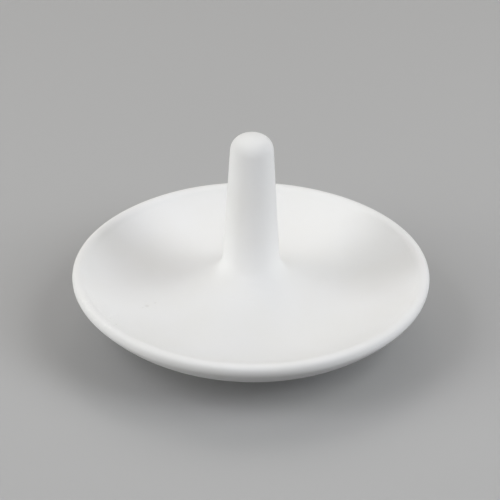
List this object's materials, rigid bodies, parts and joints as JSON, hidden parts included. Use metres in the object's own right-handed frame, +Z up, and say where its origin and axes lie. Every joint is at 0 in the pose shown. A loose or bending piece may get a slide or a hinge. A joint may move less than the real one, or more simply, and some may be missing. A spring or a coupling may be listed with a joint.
{
  "type": "ring dish",
  "caption": "Shallow round dish of unglazed white fired clay, with a rounded lip and a slim domed post in its middle that holds finger rings.",
  "frame": {"origin": "on the ground under the middle of the dish, at the centre of the foot ring's resting face", "axes": "+Z up along the post, about which the whole object is turned; X and Y are level and alike"},
  "size_m": [0.12, 0.12, 0.0723],
  "materials": {
    "bisque": "matte, unglazed, fine porous grain"
  },
  "bodies": {
    "root": {"dish": "bisque", "ring_post": "bisque", "foot_ring": "bisque"}
  },
  "joints": []
}
